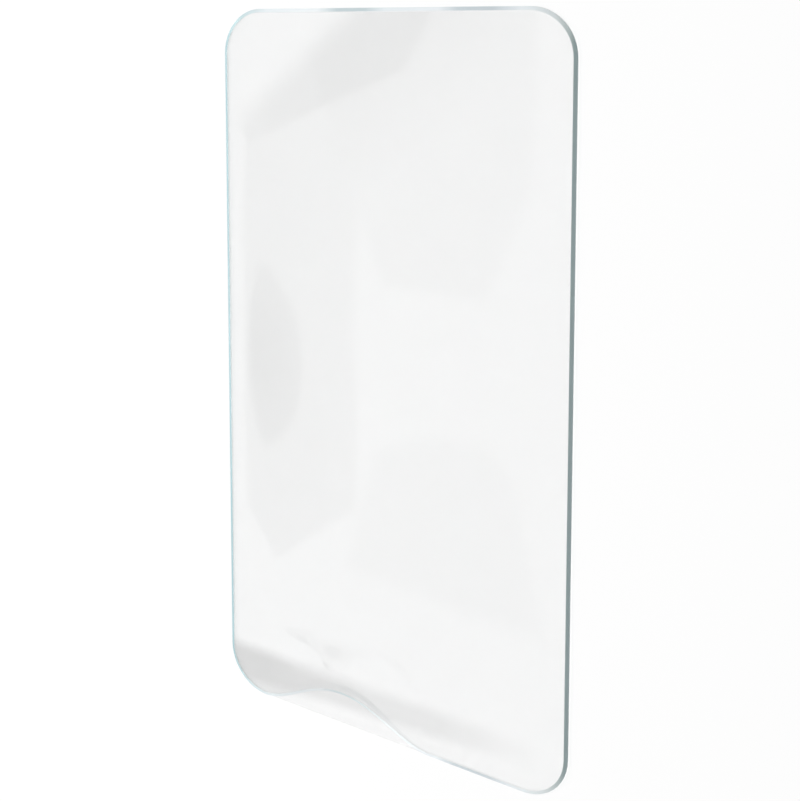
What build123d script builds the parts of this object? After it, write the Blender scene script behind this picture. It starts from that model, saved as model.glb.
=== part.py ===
"""Clear phone screen protector lying on its backing liner, front face up.

Units are millimetres and Z is up. The long side runs along Y, and the middle of the
outline stands over the origin, with the liner's underside at Z = 0.
"""

import os

from build123d import *

# Flat sheets: one outline, cut from a thick film and a thin liner
LENGTH = 144.0
WIDTH = 77.0
CORNER_RADIUS = 9.0
FILM_THICKNESS = 0.4
LINER_THICKNESS = 0.1

# Sloping rim all round the front face of the film
RIM_WIDTH = 0.75
RIM_DROP = 0.25

# One ripple, where the lower edge has crept in from the liner's edge and come away
RIPPLE_END_SHARE = 0.626
RIPPLE_DEPTH = 18.0
RIPPLE_HEIGHT = 1.5
PULL_IN = 6.55
EDGE_LIFT_SHARE = 0.43

# Worked out from the dimensions above
LEFT_X = -WIDTH / 2
LOWER_Y = -LENGTH / 2
RIPPLE_X = LEFT_X + CORNER_RADIUS
RIPPLE_LENGTH = LEFT_X + WIDTH * RIPPLE_END_SHARE - RIPPLE_X
FILM_BASE = LINER_THICKNESS

# Weights of two quartic curves. The first swells along the edge to 1 halfway and leaves
# both ends flat. The second rises from the cut edge to a crest and dies out at the crease.
SWELL = (0, 0, 8 / 3, 0, 0)
PROFILE = (EDGE_LIFT_SHARE, 1.0, 1.75, 0, 0)


def rounded_sheet(thickness, base):
    """The protector's outline as a flat sheet with its underside at the given height."""
    sheet = extrude(RectangleRounded(WIDTH, LENGTH, CORNER_RADIUS), thickness)
    return Pos(0, 0, base) * sheet


def ripple_net():
    """Control points of the ripple's underside, in rows from the cut edge to the crease."""
    net = []
    for i, swell in enumerate(SWELL):
        x = RIPPLE_X + RIPPLE_LENGTH * i / (len(SWELL) - 1)
        row = []
        for j, rise in enumerate(PROFILE):
            back = j / (len(PROFILE) - 1)
            y = LOWER_Y + PULL_IN * swell * (1 - back) + RIPPLE_DEPTH * back
            z = FILM_BASE + RIPPLE_HEIGHT * swell * rise
            row.append(Vector(x, y, z))
        net.append(row)
    return net


def rim_edges(sheet):
    """The edges round the front face, where a face that looks up meets an upright wall."""
    walls = [face for face in sheet.faces() if abs(face.normal_at().Z) < 0.01]
    return [
        edge
        for wall in walls
        for edge in wall.edges()
        if edge.center().Z > wall.center().Z and abs(edge.tangent_at(0.5).Z) < 0.99
    ]


# The liner stays flat
liner = rounded_sheet(LINER_THICKNESS, 0)

# The film's ripple takes the place of the same stretch of the flat sheet
film = rounded_sheet(FILM_THICKNESS, FILM_BASE)
film -= Pos(RIPPLE_X, LOWER_Y, FILM_BASE) * Box(
    RIPPLE_LENGTH, RIPPLE_DEPTH, FILM_THICKNESS, align=Align.MIN
)
film += extrude(Face.make_bezier_surface(ripple_net()), FILM_THICKNESS, dir=(0, 0, 1))
film = chamfer(rim_edges(film), RIM_DROP, RIM_WIDTH)

os.makedirs("parts", exist_ok=True)
export_step(liner, "parts/backing_liner.step")
export_step(film, "parts/protector_film.step")
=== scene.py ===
# %% [markdown]
# # A clear phone screen protector
#
# The real object is a thin clear film with rounded corners and a sloping, faintly blue-green rim.
# It lies on a thinner clear liner, and left of the middle its lower edge has come away in a ripple.
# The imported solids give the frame. Each visible piece is built in that frame, in metres.

# %% Load the frame
import math

import bpy
from mathutils import Matrix, Vector


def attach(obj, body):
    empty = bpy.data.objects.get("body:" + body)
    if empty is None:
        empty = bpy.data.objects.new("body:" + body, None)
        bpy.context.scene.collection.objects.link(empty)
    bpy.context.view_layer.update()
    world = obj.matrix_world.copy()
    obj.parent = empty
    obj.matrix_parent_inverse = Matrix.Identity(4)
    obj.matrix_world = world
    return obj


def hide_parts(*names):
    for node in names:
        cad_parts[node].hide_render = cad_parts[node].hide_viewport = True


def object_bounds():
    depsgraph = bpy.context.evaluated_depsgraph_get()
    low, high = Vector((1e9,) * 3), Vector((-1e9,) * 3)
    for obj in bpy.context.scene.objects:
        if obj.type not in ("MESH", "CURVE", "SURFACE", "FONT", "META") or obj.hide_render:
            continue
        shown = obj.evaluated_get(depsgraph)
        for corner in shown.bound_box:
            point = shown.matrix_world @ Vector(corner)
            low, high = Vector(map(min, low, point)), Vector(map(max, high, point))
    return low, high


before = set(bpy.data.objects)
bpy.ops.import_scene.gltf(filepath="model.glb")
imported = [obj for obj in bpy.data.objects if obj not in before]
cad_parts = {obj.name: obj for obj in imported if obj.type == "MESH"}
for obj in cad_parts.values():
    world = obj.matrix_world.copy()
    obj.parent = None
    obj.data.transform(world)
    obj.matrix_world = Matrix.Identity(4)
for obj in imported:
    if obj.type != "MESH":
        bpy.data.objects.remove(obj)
cad_box = [list(corner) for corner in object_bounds()]
MM = 0.001
WIDTH, LENGTH = (cad_box[1][i] - cad_box[0][i] for i in range(2))
LOWER_Y = -LENGTH / 2
print("nodes", sorted(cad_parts), "width and length in mm", round(WIDTH / MM, 2), round(LENGTH / MM, 2))

# %% [markdown]
# ## Helpers
#
# Node trees are long when every node takes four lines, so one small function adds a node, sets its
# options and fills or links its inputs. Colours are written as sRGB hex, as a paint program shows
# them, and one function turns them into the linear values that shaders expect.


# %% Helpers
def add_node(tree, kind, inputs=None, **settings):
    """Add one node, set its options, and fill or link its inputs by name or number."""
    node = tree.nodes.new(kind)
    for name, value in settings.items():
        setattr(node, name, value)
    for key, value in (inputs or {}).items():
        if isinstance(value, bpy.types.NodeSocket):
            tree.links.new(value, node.inputs[key])
        else:
            node.inputs[key].default_value = value
    return node


def linear(code):
    """An sRGB hex colour as linear red, green, blue and alpha."""
    parts = [int(code[i : i + 2], 16) / 255 for i in (1, 3, 5)]
    return [p / 12.92 if p <= 0.04045 else ((p + 0.055) / 1.055) ** 2.4 for p in parts] + [1.0]


def new_material(name):
    """A material with an empty node tree and its output node."""
    material = bpy.data.materials.new(name)
    material.use_nodes = True
    material.node_tree.nodes.clear()
    return material, material.node_tree, add_node(material.node_tree, "ShaderNodeOutputMaterial")


print("helpers ready")

# %% [markdown]
# ## What clear sheets have in common
#
# A handled sheet is never evenly glossy, so its roughness wanders in patches. And a renderer takes
# clear plastic for a solid wall when it looks for lamps, which would give the sheet a black shadow. So
# rays towards lamps meet a nearly clear stand-in with a tint of its own.

# %% Clear sheets
POLYESTER_IOR = 1.65
NOISE_LOW, NOISE_HIGH = 0.3, 0.75


def uneven_gloss(tree, noise, smoothest, roughest):
    """A roughness that wanders between two values, in patches as the noise says."""
    patches = add_node(tree, "ShaderNodeTexNoise", noise)
    limits = {"From Min": NOISE_LOW, "From Max": NOISE_HIGH, "To Min": smoothest, "To Max": roughest}
    wander = add_node(tree, "ShaderNodeMapRange", {"Value": patches.outputs["Fac"], **limits})
    return wander.outputs["Result"]


def set_surface(tree, out, plastic, lamp_tint):
    """Make the plastic the material's surface, with a clear stand-in for rays towards lamps."""
    stand_in = add_node(tree, "ShaderNodeBsdfTransparent", {"Color": linear(lamp_tint)})
    ray = add_node(tree, "ShaderNodeLightPath")
    choice = {0: ray.outputs["Is Shadow Ray"], 1: plastic.outputs["BSDF"], 2: stand_in.outputs["BSDF"]}
    mixed = add_node(tree, "ShaderNodeMixShader", choice)
    tree.links.new(mixed.outputs["Shader"], out.inputs["Surface"])


print("clear sheets bend light by", POLYESTER_IOR)

# %% [markdown]
# ## Painted shade along the lower edge
#
# A grey strip of painted shade runs along the lower edge of both sheets, standing in for the shading
# where the film curls up from the liner. The strip runs straight on under the lifted film, so it
# belongs to a place on each sheet and doesn't follow the ripple. A share that only tints the plastic
# adds no surface. Three fades multiplied give that share: along the edge, across the strip's upper
# border, and across its lower border, which slants a little.

# %% Painted shade along the lower edge
# Painted shade: where the grey strip along the lower edge starts, becomes full and fades out below
PAINTED_SHADE_STARTS, PAINTED_SHADE_FULL = LOWER_Y + 11.2 * MM, LOWER_Y + 7.6 * MM
PAINTED_SHADE_LOWER_FADE = 3.2 * MM
PAINTED_SHADE_SLANT = (-0.05, 1, 0)


def painted_shade_strip(tree, place, full_x, clear_x, lower_y):
    """The share of painted shade in the strip above lower_y, fading along the edge from full_x to clear_x.
    """
    across = add_node(tree, "ShaderNodeSeparateXYZ", {0: place})
    slanted = add_node(tree, "ShaderNodeVectorMath", {0: place, 1: PAINTED_SHADE_SLANT}, operation="DOT_PRODUCT")
    fades = []
    for value, clear, full, blend in (
        (across.outputs["X"], clear_x, full_x, "LINEAR"),
        (across.outputs["Y"], PAINTED_SHADE_STARTS, PAINTED_SHADE_FULL, "SMOOTHSTEP"),
        (slanted.outputs["Value"], lower_y - PAINTED_SHADE_LOWER_FADE, lower_y, "SMOOTHSTEP"),
    ):
        limits = {"Value": value, "From Min": clear, "From Max": full}
        fade = add_node(tree, "ShaderNodeMapRange", limits, interpolation_type=blend)
        fades.append(fade.outputs["Result"])
    share = fades[0]
    for fade in fades[1:]:
        share = add_node(tree, "ShaderNodeMath", {0: share, 1: fade}, operation="MULTIPLY").outputs[0]
    return share


print("painted shade strip starts", round((PAINTED_SHADE_STARTS - LOWER_Y) / MM, 1), "mm above the lower edge")

# %% [markdown]
# ## Clear polyester film
#
# Polyester film bends light strongly for a plastic, so each face mirrors more than glass would, and
# a film over a liner looks pale grey where it mirrors something dark. Rolled film is never quite
# flat: a slow unevenness, drawn as a bump some 40 mm from crest to crest, makes mirrored edges swim.
# The painted shade along the lower edge is strongest at the lower left corner.

# %% Clear polyester film
WAVE_SPAN, WAVE_HEIGHT = 40 * MM, 0.12 * MM
HANDLING_SPAN = 14 * MM
film_face, tree, out = new_material("clear polyester film")
place = add_node(tree, "ShaderNodeTexCoord").outputs["Object"]
waves = add_node(
    tree,
    "ShaderNodeTexNoise",
    {"Vector": place, "Scale": 1 / WAVE_SPAN, "Detail": 1.0, "Roughness": 0.3},
)
unevenness = add_node(
    tree,
    "ShaderNodeBump",
    {"Height": waves.outputs["Fac"], "Strength": 0.5, "Distance": WAVE_HEIGHT},
)
handling = {"Vector": place, "Scale": 1 / HANDLING_SPAN, "Detail": 4.0, "Roughness": 0.6}
# Painted shade: the film greys from #FCFCFC to #EEEEEE in the strip along its lower edge
painted_shade = painted_shade_strip(tree, place, -24 * MM, -3 * MM, LOWER_Y + 2.5 * MM)
colour = add_node(
    tree,
    "ShaderNodeMix",
    {0: painted_shade, 6: linear("#FCFCFC"), 7: linear("#EEEEEE")},
    data_type="RGBA",
)
plastic = add_node(
    tree,
    "ShaderNodeBsdfPrincipled",
    {
        "Base Color": colour.outputs[2],
        "IOR": POLYESTER_IOR,
        "Transmission Weight": 1.0,
        "Roughness": uneven_gloss(tree, handling, 0.012, 0.03),
        "Normal": unevenness.outputs["Normal"],
    },
)
set_surface(tree, out, plastic, "#F6F7F7")
print("material", film_face.name)

# %% [markdown]
# ## Ground film edge
#
# The rim is cut and ground to a slope. Light that has run sideways through the film leaves here, so
# the edge carries the blue-green tint of the plastic that is too weak to see through the face. It is
# mostly cloudy. The tint depends on the place across the sheet: each long side has one tint, and
# along the short sides lighter and darker stretches are painted glints, standing in for light on the edge.

# %% Ground film edge
# The long sides' blue-green tint, and painted glints as lighter and darker stretches along the short sides
RIM_TINT_AND_PAINTED_GLINTS = (
    # share of the width, tint
    (0.0, "#90ACB2"),
    (0.04, "#A6C0C4"),
    (0.14, "#E6EDF0"),
    (0.3, "#EEF3F5"),
    (0.36, "#C3D0D4"),
    (0.44, "#C3D0D4"),
    (0.5, "#E6EDF0"),
    (0.65, "#EAEFF2"),
    (0.7, "#C7D1D6"),
    (0.79, "#C5CED3"),
    (0.86, "#E5EBEE"),
    (0.95, "#E2EAEB"),
    (0.98, "#C4D1D1"),
    (0.992, "#9AADAF"),
)
film_rim, tree, out = new_material("ground polyester edge")
place = add_node(tree, "ShaderNodeTexCoord").outputs["Object"]
across = add_node(tree, "ShaderNodeSeparateXYZ", {0: place})
share = add_node(
    tree,
    "ShaderNodeMapRange",
    {"Value": across.outputs["X"], "From Min": -WIDTH / 2, "From Max": WIDTH / 2},
)
tint = add_node(tree, "ShaderNodeValToRGB", {"Fac": share.outputs["Result"]})
while len(tint.color_ramp.elements) < len(RIM_TINT_AND_PAINTED_GLINTS):
    tint.color_ramp.elements.new(0.5)
for element, (position, code) in zip(tint.color_ramp.elements, RIM_TINT_AND_PAINTED_GLINTS):
    element.position, element.color = position, linear(code)
edge = add_node(
    tree,
    "ShaderNodeBsdfPrincipled",
    {
        "Base Color": tint.outputs["Color"],
        "IOR": POLYESTER_IOR,
        "Transmission Weight": 0.1,
        "Roughness": 0.2,
    },
)
set_surface(tree, out, edge, "#D5DEDF")
print("material", film_rim.name, "with", len(RIM_TINT_AND_PAINTED_GLINTS), "tints")

# %% [markdown]
# ## Release liner
#
# The liner is the same plastic, rolled four times as thin and coated so that the adhesive lets go.
# The coating takes a little of the gloss. Painted shade, standing in for the shade of the lifted film,
# runs along most of the lower edge and fades out to the right.

# %% Release liner
COATING_SPAN = 9 * MM
liner_face, tree, out = new_material("silicone-coated polyester liner")
place = add_node(tree, "ShaderNodeTexCoord").outputs["Object"]
coating = {"Vector": place, "Scale": 1 / COATING_SPAN, "Detail": 3.0, "Roughness": 0.55}
# Painted shade: the liner greys from #EDEDED to #DDDDDD in the strip along its lower edge
painted_shade = painted_shade_strip(tree, place, 12 * MM, 34 * MM, LOWER_Y + 5.4 * MM)
colour = add_node(
    tree,
    "ShaderNodeMix",
    {0: painted_shade, 6: linear("#EDEDED"), 7: linear("#DDDDDD")},
    data_type="RGBA",
)
sheet = add_node(
    tree,
    "ShaderNodeBsdfPrincipled",
    {
        "Base Color": colour.outputs[2],
        "IOR": POLYESTER_IOR,
        "Transmission Weight": 1.0,
        "Roughness": uneven_gloss(tree, coating, 0.03, 0.06),
    },
)
set_surface(tree, out, sheet, "#FAFBFB")
print("material", liner_face.name)

# %% [markdown]
# ## One rule for both sheets
#
# Film and liner share an outline, so one Geometry Nodes rule makes both. It starts from a plain grid
# and moves each point. The outer rings of the grid become the wall and the sloping rim, and the
# rest becomes the face.
#
# Each line of a table below is one Math node: the name of its result, the operation, and its terms,
# which are earlier names or plain numbers. The first table finds the ring that a point lies in, and
# how far across and along that ring's own grid it stands.

# %% Rings of the grid
SIZES = (
    "Length",
    "Width",
    "Corner Radius",
    "Thickness",
    "Base",
    "Rim Width",
    "Rim Drop",
    "Pull In",
    "Ripple Height",
    "Ripple Depth",
    "Ripple Length",
    "Edge Lift",
)
# Places of the rings up the sloping rim, from 0 at its lower end to 1 at its upper end
# The ring outside them is the foot of the upright wall
SLOPE_SHARES = (0.0, 0.08, 0.92, 1.0, 1.12)
RING_ROWS = (
    ("abs x", "ABSOLUTE", "grid x"),
    ("abs y", "ABSOLUTE", "grid y"),
    ("from side", "SUBTRACT", "Half Columns", "abs x"),
    ("from end", "SUBTRACT", "Half Rows", "abs y"),
    ("from border", "MINIMUM", "from side", "from end"),
    ("ring", "MINIMUM", "from border", "Rings"),
    ("columns left", "SUBTRACT", "Half Columns", "ring"),
    ("rows left", "SUBTRACT", "Half Rows", "ring"),
    ("across", "DIVIDE", "abs x", "columns left"),
    ("side", "SIGN", "grid x"),
    ("along", "DIVIDE", "grid y", "rows left"),
    ("wall", "SUBTRACT", "Rim Drop", "Thickness"),
    ("foot share", "DIVIDE", "wall", "Rim Drop"),
)


def add_rows(tree, known, rows):
    """Add a Math node for each row, and keep its result under the row's name."""
    for name, operation, *terms in rows:
        inputs = {i: known.get(term, term) for i, term in enumerate(terms)}
        known[name] = add_node(tree, "ShaderNodeMath", inputs, operation=operation).outputs[0]


point = bpy.data.node_groups.new("point of a rounded sheet", "GeometryNodeTree")
for name in (*SIZES, "Half Columns", "Half Rows", "Rings"):
    point.interface.new_socket(name, in_out="INPUT", socket_type="NodeSocketFloat")
point.interface.new_socket("Position", in_out="OUTPUT", socket_type="NodeSocketVector")
point.interface.new_socket("Ring", in_out="OUTPUT", socket_type="NodeSocketFloat")
given = add_node(point, "NodeGroupInput")
known = {socket.name: socket for socket in given.outputs if socket.name}
start = add_node(point, "GeometryNodeInputPosition").outputs[0]
grid_place = add_node(point, "ShaderNodeSeparateXYZ", {0: start})
known["grid x"], known["grid y"] = grid_place.outputs[0], grid_place.outputs[1]
add_rows(point, known, RING_ROWS)

slope = add_node(point, "GeometryNodeIndexSwitch", data_type="FLOAT")
while len(slope.index_switch_items) < len(SLOPE_SHARES) + 1:
    slope.index_switch_items.new()
point.links.new(known["ring"], slope.inputs["Index"])
point.links.new(known["foot share"], slope.inputs[1])
for i, share in enumerate(SLOPE_SHARES):
    slope.inputs[i + 2].default_value = share
known["slope share"] = slope.outputs[0]
print("rings at shares", SLOPE_SHARES, "of the rim")

# %% [markdown]
# ## Outline and ripple
#
# The second table turns a grid place into a place on the sheet. A column near a side bends round the
# corner's arc. The rows near the lower edge crowd together between the edge and the ripple's crease,
# where the shape needs them. The ripple is the same pair of curves as in the solids: one swells along
# the edge and leaves both ends flat, and one rises from the edge to a crest and dies out at the crease.

# %% Outline and ripple
STRAIGHT = 0.84  # share of the columns on the straight part of a short side
LOW_ROWS = 0.55  # share of the rows between the lower edge and the crease
SWELL_SCALE = 16.0  # makes u u (1 - u) (1 - u) one at its middle
RISE_WEIGHT, CREST_WEIGHT = 4.0, 10.5  # of the curve from the edge to the crease
SHAPE_ROWS = (
    ("in share", "MAXIMUM", "slope share", 0.0),
    ("inset", "MULTIPLY", "in share", "Rim Width"),
    ("up share", "MINIMUM", "slope share", 1.0),
    ("rim rise", "MULTIPLY", "up share", "Rim Drop"),
    ("height", "SUBTRACT", "rim rise", "wall"),
    ("half width", "MULTIPLY", "Width", 0.5),
    ("half length", "MULTIPLY", "Length", 0.5),
    ("straight x", "SUBTRACT", "half width", "Corner Radius"),
    ("straight y", "SUBTRACT", "half length", "Corner Radius"),
    ("arc radius", "SUBTRACT", "Corner Radius", "inset"),
    ("straight share", "DIVIDE", "across", STRAIGHT),
    ("straight part", "MINIMUM", "straight share", 1.0),
    ("past straight", "SUBTRACT", "across", STRAIGHT),
    ("arc share", "MAXIMUM", "past straight", 0.0),
    ("turn", "MULTIPLY", "arc share", math.pi / 2 / (1 - STRAIGHT)),
    ("sine", "SINE", "turn"),
    ("cosine", "COSINE", "turn"),
    ("arc x", "MULTIPLY", "sine", "arc radius"),
    ("far x", "MULTIPLY_ADD", "straight part", "straight x", "arc x"),
    ("x", "MULTIPLY", "far x", "side"),
    ("top y", "MULTIPLY_ADD", "cosine", "arc radius", "straight y"),
    ("from corner", "ADD", "x", "straight x"),
    ("ripple share", "DIVIDE", "from corner", "Ripple Length"),
    ("u low", "MAXIMUM", "ripple share", 0.0),
    ("u", "MINIMUM", "u low", 1.0),
    ("u left", "SUBTRACT", 1.0, "u"),
    ("u both", "MULTIPLY", "u", "u left"),
    ("u square", "MULTIPLY", "u both", "u both"),
    ("swell", "MULTIPLY", "u square", SWELL_SCALE),
    ("pull", "MULTIPLY", "swell", "Pull In"),
    ("cut y", "SUBTRACT", "pull", "top y"),
    ("crease y", "SUBTRACT", "Ripple Depth", "half length"),
    ("row share", "MULTIPLY_ADD", "along", 0.5, 0.5),
    ("low share", "DIVIDE", "row share", LOW_ROWS),
    ("low part", "MINIMUM", "low share", 1.0),
    ("past low", "SUBTRACT", "row share", LOW_ROWS),
    ("high low", "MAXIMUM", "past low", 0.0),
    ("high part", "DIVIDE", "high low", 1 - LOW_ROWS),
    ("low run", "SUBTRACT", "crease y", "cut y"),
    ("low y", "MULTIPLY_ADD", "low part", "low run", "cut y"),
    ("high run", "SUBTRACT", "top y", "crease y"),
    ("y", "MULTIPLY_ADD", "high part", "high run", "low y"),
    ("edge y", "SUBTRACT", "pull", "half length"),
    ("from edge", "SUBTRACT", "y", "edge y"),
    ("edge run", "SUBTRACT", "crease y", "edge y"),
    ("v raw", "DIVIDE", "from edge", "edge run"),
    ("v low", "MAXIMUM", "v raw", 0.0),
    ("v", "MINIMUM", "v low", 1.0),
    ("w", "SUBTRACT", 1.0, "v"),
    ("w square", "MULTIPLY", "w", "w"),
    ("v w", "MULTIPLY", "v", "w"),
    ("v square", "MULTIPLY", "v", "v"),
    ("edge term", "MULTIPLY", "w square", "Edge Lift"),
    ("rise term", "MULTIPLY_ADD", "v w", RISE_WEIGHT, "edge term"),
    ("crest term", "MULTIPLY_ADD", "v square", CREST_WEIGHT, "rise term"),
    ("rise", "MULTIPLY", "crest term", "w square"),
    ("swollen", "MULTIPLY", "rise", "swell"),
    ("lift", "MULTIPLY_ADD", "swollen", "Ripple Height", "Base"),
    ("z", "ADD", "lift", "height"),
)
add_rows(point, known, SHAPE_ROWS)
moved = add_node(point, "ShaderNodeCombineXYZ", {0: known["x"], 1: known["y"], 2: known["z"]})
add_node(point, "NodeGroupOutput", {"Position": moved.outputs[0], "Ring": known["ring"]})
print("point rule has", len(point.nodes), "nodes")

# %% [markdown]
# ## The two sides of a sheet
#
# The outer tree uses the rule twice on one grid, once with rings for the front and once without for
# the back. Faces in the front's outer rings are marked as rim, so that they can get a finish of their own.

# %% Two sides
COLUMNS, ROWS, RINGS = 151, 91, len(SLOPE_SHARES)
RIM_ENDS = RINGS - 1.9  # just past the last ring of faces on the slope
NO_RIM = -1.0
rounded_sheet = bpy.data.node_groups.new("rounded sheet", "GeometryNodeTree")
rounded_sheet.interface.new_socket("Geometry", in_out="INPUT", socket_type="NodeSocketGeometry")
for name in SIZES:
    rounded_sheet.interface.new_socket(name, in_out="INPUT", socket_type="NodeSocketFloat")
for name in ("Face Material", "Rim Material"):
    rounded_sheet.interface.new_socket(name, in_out="INPUT", socket_type="NodeSocketMaterial")
rounded_sheet.interface.new_socket("Geometry", in_out="OUTPUT", socket_type="NodeSocketGeometry")
given = add_node(rounded_sheet, "NodeGroupInput")
grid = add_node(
    rounded_sheet,
    "GeometryNodeMeshGrid",
    {"Size X": COLUMNS - 1, "Size Y": ROWS - 1, "Vertices X": COLUMNS, "Vertices Y": ROWS},
)
sides = []
for rings, rim_ends in ((RINGS, RIM_ENDS), (0, NO_RIM)):
    rule = add_node(
        rounded_sheet,
        "GeometryNodeGroup",
        {
            **{name: given.outputs[name] for name in SIZES},
            "Half Columns": (COLUMNS - 1) / 2,
            "Half Rows": (ROWS - 1) / 2,
            "Rings": rings,
        },
        node_tree=point,
    )
    in_rim = add_node(
        rounded_sheet,
        "FunctionNodeCompare",
        {"A": rule.outputs["Ring"], "B": rim_ends},
        data_type="FLOAT",
        operation="LESS_THAN",
    )
    marked = add_node(
        rounded_sheet,
        "GeometryNodeStoreNamedAttribute",
        {"Geometry": grid.outputs["Mesh"], "Name": "rim", "Value": in_rim.outputs[0]},
        data_type="BOOLEAN",
        domain="FACE",
    )
    placed = add_node(
        rounded_sheet,
        "GeometryNodeSetPosition",
        {"Geometry": marked.outputs[0], "Position": rule.outputs["Position"]},
    )
    sides.append(placed.outputs[0])
print("grid of", COLUMNS, "by", ROWS, "points on each side")

# %% [markdown]
# ## Closing the sheet
#
# The back is turned over and welded to the front at the border, which makes a closed solid. Edges with
# a sharp turn are kept crisp, so that the flat faces stay flat to the eye. The finishes come last.

# %% Closed sheet
WELD = 0.002 * MM
SHARP_TURN = math.radians(50)
back = add_node(rounded_sheet, "GeometryNodeFlipFaces", {0: sides[1]})
both = add_node(rounded_sheet, "GeometryNodeJoinGeometry")
for side in (back.outputs[0], sides[0]):
    rounded_sheet.links.new(side, both.inputs[0])
welded = add_node(
    rounded_sheet,
    "GeometryNodeMergeByDistance",
    {"Geometry": both.outputs[0], "Distance": WELD},
)
smooth = add_node(
    rounded_sheet,
    "GeometryNodeSetShadeSmooth",
    {"Geometry": welded.outputs[0]},
    domain="FACE",
)
turn = add_node(rounded_sheet, "GeometryNodeInputMeshEdgeAngle")
sharp = add_node(
    rounded_sheet,
    "FunctionNodeCompare",
    {"A": turn.outputs["Unsigned Angle"], "B": SHARP_TURN},
    data_type="FLOAT",
    operation="GREATER_THAN",
)
crisp = add_node(
    rounded_sheet,
    "GeometryNodeSetShadeSmooth",
    {"Geometry": smooth.outputs[0], "Selection": sharp.outputs[0], "Shade Smooth": False},
    domain="EDGE",
)
real = add_node(rounded_sheet, "GeometryNodeRealizeInstances", {0: crisp.outputs[0]})
faces = add_node(
    rounded_sheet,
    "GeometryNodeSetMaterial",
    {"Geometry": real.outputs[0], "Material": given.outputs["Face Material"]},
)
rim = add_node(rounded_sheet, "GeometryNodeInputNamedAttribute", {"Name": "rim"}, data_type="BOOLEAN")
finished = add_node(
    rounded_sheet,
    "GeometryNodeSetMaterial",
    {
        "Geometry": faces.outputs[0],
        "Selection": rim.outputs["Attribute"],
        "Material": given.outputs["Rim Material"],
    },
)
add_node(rounded_sheet, "NodeGroupOutput", {0: finished.outputs[0]})
print("sheet tree has", len(rounded_sheet.nodes), "nodes")

# %% [markdown]
# ## Film and liner
#
# The sizes are those of the solids. The liner has a rim too fine to see and no ripple, and its top
# stays a hair below the film, because two faces in exactly the same place would flicker in the render.

# %% Film and liner
CORNER = 9 * MM
FILM, LINER, HAIR = 0.4 * MM, 0.1 * MM, 0.02 * MM
RIM_WIDTH, RIM_DROP = 0.75 * MM, 0.25 * MM
LINER_RIM_WIDTH, LINER_RIM_DROP = 0.04 * MM, 0.03 * MM
PULL_IN, RIPPLE_HEIGHT, RIPPLE_DEPTH = 6.55 * MM, 1.5 * MM, 18 * MM
RIPPLE_LENGTH = WIDTH * 0.626 - CORNER
EDGE_LIFT = 0.43
SHEETS = {
    "film": (
        (LENGTH, WIDTH, CORNER, FILM, LINER, RIM_WIDTH, RIM_DROP),
        (PULL_IN, RIPPLE_HEIGHT, RIPPLE_DEPTH, RIPPLE_LENGTH, EDGE_LIFT),
        (film_face, film_rim),
        ("protector_film", "clear_film"),
    ),
    "liner": (
        (LENGTH, WIDTH, CORNER, LINER - HAIR, 0, LINER_RIM_WIDTH, LINER_RIM_DROP),
        (0, 0, RIPPLE_DEPTH, RIPPLE_LENGTH, EDGE_LIFT),
        (liner_face, liner_face),
        ("backing_liner", "clear_liner"),
    ),
}
names = (*SIZES, "Face Material", "Rim Material")
for title, (outline, ripple, finishes, (node, slot)) in SHEETS.items():
    seed = bpy.data.objects.new(title + " rule", bpy.data.meshes.new(title + " rule"))
    bpy.context.scene.collection.objects.link(seed)
    modifier = seed.modifiers.new("rounded sheet", "NODES")
    modifier.node_group = rounded_sheet
    values = (*outline, *ripple, *finishes)
    for socket in rounded_sheet.interface.items_tree:
        if socket.in_out == "INPUT" and socket.name in names:
            value = values[names.index(socket.name)]
            modifier[socket.identifier] = value if isinstance(value, bpy.types.Material) else float(value)
    bpy.context.view_layer.update()
    evaluated = seed.evaluated_get(bpy.context.evaluated_depsgraph_get())
    mesh = bpy.data.meshes.new_from_object(evaluated)
    bpy.data.objects.remove(seed)
    # The empty starting mesh leaves an empty material slot, which is taken out
    for i in reversed(range(len(mesh.materials))):
        if mesh.materials[i] is None:
            mesh.materials.pop(index=i)
    piece = bpy.data.objects.new("clear_" + title, mesh)
    bpy.context.scene.collection.objects.link(piece)
    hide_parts(node)
    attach(piece, "root")
    top = max(vertex.co.z for vertex in mesh.vertices)
    print(piece.name, "has", len(mesh.polygons), "faces and is", round(top / MM, 2), "mm high")

# %% [markdown]
# ## Floor
#
# The floor is plain white. What the camera sees of it, directly or through clear plastic, is mostly
# an even white, with the rest left to the lamps so that the sheet keeps a soft shadow. It ends in front
# of the left lamp, because the paper behind a lamp would stay dim and show as a grey horizon.

# %% Floor
EVEN_SHARE = 0.8
FLOOR_REACH, FLOOR_Z = 0.8, -0.05 * MM
floor_white, tree, out = new_material("white paper sweep")
paper = add_node(tree, "ShaderNodeBsdfDiffuse", {"Color": linear("#F6F6F6")})
even = add_node(tree, "ShaderNodeEmission", {"Color": (1, 1, 1, 1), "Strength": 1.0})
ray = add_node(tree, "ShaderNodeLightPath")
seen = ray.outputs["Is Camera Ray"]
for kind in ("Is Glossy Ray", "Is Transmission Ray"):
    seen = add_node(tree, "ShaderNodeMath", {0: seen, 1: ray.outputs[kind]}, operation="MAXIMUM").outputs[0]
share = add_node(tree, "ShaderNodeMath", {0: seen, 1: EVEN_SHARE}, operation="MULTIPLY")
mixed = add_node(
    tree,
    "ShaderNodeMixShader",
    {0: share.outputs[0], 1: paper.outputs["BSDF"], 2: even.outputs["Emission"]},
)
tree.links.new(mixed.outputs["Shader"], out.inputs["Surface"])
floor_mesh = bpy.data.meshes.new("floor")
corners = [(x * FLOOR_REACH, y * FLOOR_REACH, FLOOR_Z) for x, y in ((-1, -1), (1, -1), (1, 1), (-1, 1))]
floor_mesh.from_pydata(corners, [], [(0, 1, 2, 3)])
floor_mesh.materials.append(floor_white)
floor = bpy.data.objects.new("floor", floor_mesh)
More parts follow.
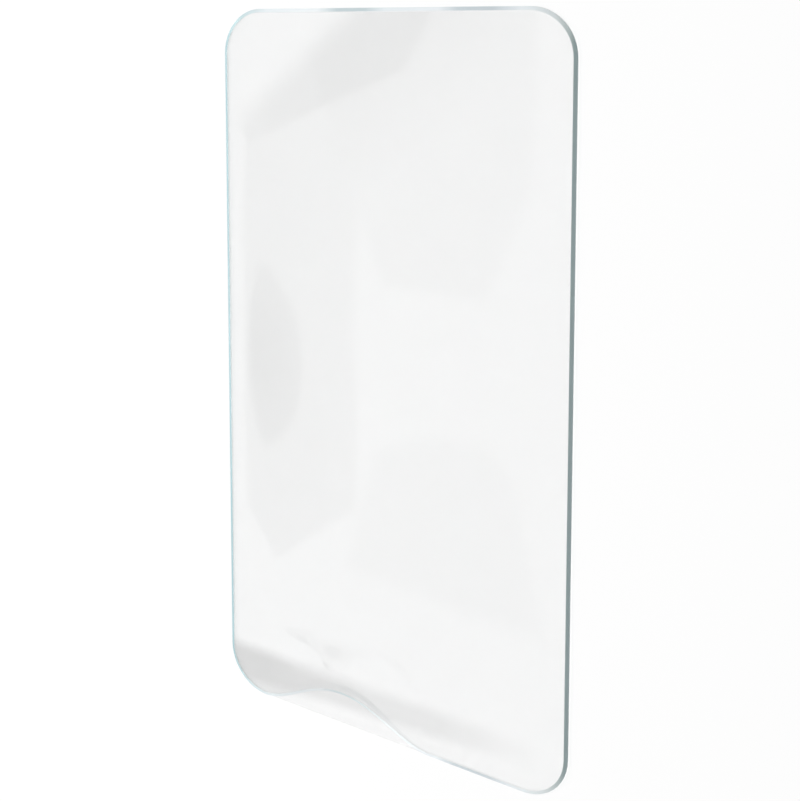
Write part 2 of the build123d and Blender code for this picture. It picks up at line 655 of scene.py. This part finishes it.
bpy.context.scene.collection.objects.link(floor)
print("floor", FLOOR_REACH * 2, "m wide")

# %% [markdown]
# ## What the sheet mirrors
#
# A clear sheet on white shows mostly what it mirrors. The camera stands at one place, and a flat sheet
# mirrors each direction at just one of its points. A direction divided by its height, scaled by the
# camera's height and moved under the camera gives that point, in millimetres on the sheet. So the
# studio can be drawn by where its mirror image lies, as a photographer places cards by eye.

# %% World
EYE = (110.73, 67.9, 179.77)  # the camera's place in mm
LOWEST_UP = 0.02  # keeps the division finite near the horizon
world = bpy.data.worlds.new("studio dome")
bpy.context.scene.world = world
world.use_nodes = True
tree = world.node_tree
tree.nodes.clear()
out = add_node(tree, "ShaderNodeOutputWorld")
way = add_node(tree, "ShaderNodeTexCoord").outputs["Generated"]
way_parts = add_node(tree, "ShaderNodeSeparateXYZ", {0: way})
up = add_node(tree, "ShaderNodeMath", {0: way_parts.outputs["Z"], 1: LOWEST_UP}, operation="MAXIMUM")
over = add_node(tree, "ShaderNodeMath", {0: EYE[2], 1: up.outputs[0]}, operation="DIVIDE")
above = add_node(tree, "ShaderNodeVectorMath", {0: way, "Scale": over.outputs[0]}, operation="SCALE")
under_eye = {0: above.outputs[0], 1: (*EYE[:2], 0)}
spot = add_node(tree, "ShaderNodeVectorMath", under_eye, operation="ADD").outputs[0]
print("a card's place is given in mm on the sheet, seen from", EYE)

# %% [markdown]
# ## Dome and wall
#
# Far from the soft box the dome is dim, and a little brighter on the left, where the lamp stands. Low
# in front of the sheet stands a bright wall, which the front of the ripple mirrors.

# %% Dome and wall
DOME_LEFT, DOME_RIGHT, WALL = 0.62, 0.42, 0.95
side_light = add_node(
    tree,
    "ShaderNodeMapRange",
    {
        "Value": way_parts.outputs["X"],
        "From Min": -0.3,
        "From Max": 0.35,
        "To Min": DOME_LEFT,
        "To Max": DOME_RIGHT,
    },
    interpolation_type="SMOOTHSTEP",
)
in_front = add_node(
    tree,
    "ShaderNodeMapRange",
    {"Value": way_parts.outputs["Y"], "From Min": -0.45, "From Max": -0.75},
    interpolation_type="SMOOTHSTEP",
)
around = add_node(
    tree,
    "ShaderNodeMix",
    {0: in_front.outputs["Result"], 2: side_light.outputs["Result"], 3: WALL},
    data_type="FLOAT",
)
print("dome from", DOME_LEFT, "on the left to", DOME_RIGHT, "on the right, wall", WALL)

# %% [markdown]
# ## Soft box
#
# One big oval soft box hangs over the sheet and gives its even pale tone. It is least bright over the
# sheet's left edge and grows brighter away from it, and its own edge is blurred.

# %% Soft box
BOX_MIDDLE, BOX_HALF = (-20, 0), (175, 185)  # in mm on the sheet
BOX_CORE, BOX_END = 0.7, 1.3  # shares of the half size where the blur starts and ends
DIM_X, BRIGHT_AFTER = -38.0, 76.0
BOX_DIM, BOX_BRIGHT = 1.08, 1.2
box_place = add_node(
    tree,
    "ShaderNodeMapping",
    {"Vector": spot, "Location": (*BOX_MIDDLE, EYE[2]), "Scale": (*BOX_HALF, 1)},
    vector_type="TEXTURE",
)
box_edge = add_node(tree, "ShaderNodeVectorMath", {0: box_place.outputs[0]}, operation="LENGTH")
inside = add_node(
    tree,
    "ShaderNodeMapRange",
    {"Value": box_edge.outputs["Value"], "From Min": BOX_END, "From Max": BOX_CORE},
    interpolation_type="SMOOTHSTEP",
)
spot_parts = add_node(tree, "ShaderNodeSeparateXYZ", {0: spot})
from_left = add_node(tree, "ShaderNodeMath", {0: spot_parts.outputs["X"], 1: DIM_X}, operation="SUBTRACT")
distance = add_node(tree, "ShaderNodeMath", {0: from_left.outputs[0]}, operation="ABSOLUTE")
box_light = add_node(
    tree,
    "ShaderNodeMapRange",
    {"Value": distance.outputs[0], "From Max": BRIGHT_AFTER, "To Min": BOX_DIM, "To Max": BOX_BRIGHT},
)
light = add_node(
    tree,
    "ShaderNodeMix",
    {0: inside.outputs["Result"], 2: around.outputs[0], 3: box_light.outputs["Result"]},
    data_type="FLOAT",
).outputs[0]
print("soft box", 2 * BOX_HALF[0], "by", 2 * BOX_HALF[1], "mm in the mirror")

# %% [markdown]
# ## Cards
#
# Grey cards in front of the soft box give the sheet its quiet darker shapes. Each card is the space
# inside some straight or oval borders. A straight border is the share of x, the share of y and the limit
# in mm. An oval is its middle and half sizes. The darkness may change with the distance inside the
# first border. Shares that are scaled down stretch a border's blur: the three upper left cards share
# one border with a quarter of the usual shares, so it is four times as soft as the others.

# %% Cards
SOFTNESS = 0.8
SOFT_BORDER = (-0.156, 0.196, 15.2)
CARDS = {
    # borders, then a distance and its darkness, twice
    "upper": (
        (
            SOFT_BORDER,
            (-0.935, -0.353, -5.6),
            (1, 0, 30.8),
            (0.935, -0.353, 13.6),
            (0, -1, -18.8),
        ),
        (2.2, 0.29),
        (7.7, 0.11),
    ),
    "leaf": (
        ((-0.783, -0.622, -2), SOFT_BORDER, (0.388, -0.922, -54.4), (0.861, -0.509, -27.5)),
        (4, 0.2),
        (16, 0.28),
    ),
    "left": (
        (
            (-1, 0, 34.3),
            SOFT_BORDER,
            (0.935, 0.353, 5.6),
            (1, 0, -7),
            (0.598, -0.802, 17.5),
            (-0.817, -0.576, 46),
        ),
        (2, 0.23),
        (26, 0.16),
    ),
    "lens": (
        ((-34, 1.2, 14.1, 20.5), (-22, 1.2, 11.5, 26)),
        (0, 0.25),
        (12, 0.44),
    ),
    "low": (
        (
            (-0.961, 0.271, -1.5),
            (-0.503, 0.864, -11),
            (-0.07, 0.998, -9.3),
            (0.645, 0.765, 7.3),
            (0.973, 0.233, 23),
            (-0.05, -0.999, 40.3),
        ),
        (0, 0.1),
        (9, 0.1),
    ),
}


def past_border(border):
    """How far a place lies outside a straight or an oval border, below zero inside."""
    if len(border) == 3:
        shares = {0: spot, 1: (*border[:2], 0)}
        along = add_node(tree, "ShaderNodeVectorMath", shares, operation="DOT_PRODUCT")
        pair = {0: along.outputs["Value"], 1: border[2]}
        return add_node(tree, "ShaderNodeMath", pair, operation="SUBTRACT").outputs[0]
    middle, half = (*border[:2], EYE[2]), (*border[2:], 1)
    placed = {0: spot, "Location": middle, "Scale": half}
    oval = add_node(tree, "ShaderNodeMapping", placed, vector_type="TEXTURE")
    radius = add_node(tree, "ShaderNodeVectorMath", {0: oval.outputs[0]}, operation="LENGTH")
    terms = {0: radius.outputs["Value"], 1: half[0], 2: -half[0]}
    return add_node(tree, "ShaderNodeMath", terms, operation="MULTIPLY_ADD").outputs[0]


for borders, (near, near_dark), (far, far_dark) in CARDS.values():
    past = [past_border(border) for border in borders]
    farthest = past[0]
    for other in past[1:]:
        farthest = add_node(tree, "ShaderNodeMath", {0: farthest, 1: other}, operation="MAXIMUM").outputs[0]
    cover = add_node(
        tree,
        "ShaderNodeMapRange",
        {"Value": farthest, "From Min": SOFTNESS, "From Max": -SOFTNESS},
        interpolation_type="SMOOTHSTEP",
    )
    dark = add_node(
        tree,
        "ShaderNodeMapRange",
        {"Value": past[0], "From Min": -near, "From Max": -far, "To Min": near_dark, "To Max": far_dark},
    )
    pair = {0: cover.outputs["Result"], 1: dark.outputs["Result"]}
    shade = add_node(tree, "ShaderNodeMath", pair, operation="MULTIPLY").outputs[0]
    light = add_node(tree, "ShaderNodeMix", {0: shade, 2: light, 3: 0.0}, data_type="FLOAT").outputs[0]
print("cards", list(CARDS))

# %% [markdown]
# ## Which rays see what
#
# A ray that is mirrored by plastic or passes through it sees the dome with its box and cards. The
# camera itself sees plain white past the floor. Paper and the cloudy rim are lit by an even room, so
# that the cards don't stain them. Light Path tells these rays apart.

# %% Rays
ROOM = 0.42
WHITE = (1, 1, 1, 1)
dome = add_node(tree, "ShaderNodeBackground", {"Color": WHITE, "Strength": light})
white = add_node(tree, "ShaderNodeBackground", {"Color": WHITE, "Strength": 1.0})
room = add_node(tree, "ShaderNodeBackground", {"Color": WHITE, "Strength": ROOM})
ray = add_node(tree, "ShaderNodeLightPath")
gloss = add_node(
    tree,
    "ShaderNodeMath",
    {0: ray.outputs["Is Glossy Ray"], 1: ray.outputs["Is Transmission Ray"]},
    operation="MAXIMUM",
)
mirrored = add_node(
    tree,
    "ShaderNodeMixShader",
    {0: gloss.outputs[0], 1: room.outputs["Background"], 2: dome.outputs["Background"]},
)
mixed = add_node(
    tree,
    "ShaderNodeMixShader",
    {0: ray.outputs["Is Camera Ray"], 1: mirrored.outputs["Shader"], 2: white.outputs["Background"]},
)
tree.links.new(mixed.outputs["Shader"], out.inputs["Surface"])
print("world", world.name)

# %% [markdown]
# ## Lamps
#
# The cloudy rim is lit by two low soft lamps, a strong one on the left and a weak one in front. They
# make the left rim pale and leave the right rim dark, as in the photograph. The film doesn't mirror
# them.

# %% Lamps
LAMPS = {
    # watts, place and size in metres
    "left soft light": (19.0, (-0.95, 0.0, 0.44), (0.8, 0.4)),
    "front soft light": (0.4, (-0.1, -0.9, 0.32), (0.6, 0.3)),
}
for name, (watts, place, size) in LAMPS.items():
    lamp = bpy.data.objects.new(name, bpy.data.lights.new(name, "AREA"))
    lamp.data.shape = "RECTANGLE"
    lamp.data.size, lamp.data.size_y = size
    lamp.data.energy = watts
    lamp.visible_glossy = False
    lamp.location = place
    lamp.rotation_mode = "QUATERNION"
    lamp.rotation_quaternion = (-lamp.location).to_track_quat("-Z", "Y")
    bpy.context.scene.collection.objects.link(lamp)
    print("lamp", name, watts, "W")

# %% [markdown]
# ## Camera
#
# The photograph looks down on the sheet from above its upper right. Its left and right edges run
# upright and side by side, which is the work of a shifted lens.

# %% Camera
LOOKING = Vector((-0.5116, -0.0874, -0.8548)).normalized()
PICTURE_TOP = Vector((-0.0457, 0.9962, -0.0745))
camera = bpy.data.objects.new("camera", bpy.data.cameras.new("camera"))
camera.data.lens = 50.51
camera.data.sensor_width = 36.0
camera.data.shift_y = -0.34
camera.data.clip_start = 0.005
right = LOOKING.cross(PICTURE_TOP).normalized()
turned = Matrix((right, right.cross(LOOKING), -LOOKING)).transposed().to_4x4()
camera.matrix_world = Matrix.Translation(Vector(EYE) * MM) @ turned
bpy.context.scene.collection.objects.link(camera)
bpy.context.scene.camera = camera
bpy.context.scene.view_settings.view_transform = "Standard"
print("camera", round(camera.data.lens, 2), "mm, shifted by", round(camera.data.shift_y, 2))

# %% [markdown]
# ## Size and finish
#
# The dressed sheets must fill the same box as the solids that they stand for.

# %% Size and finish
print("sheets dressed")
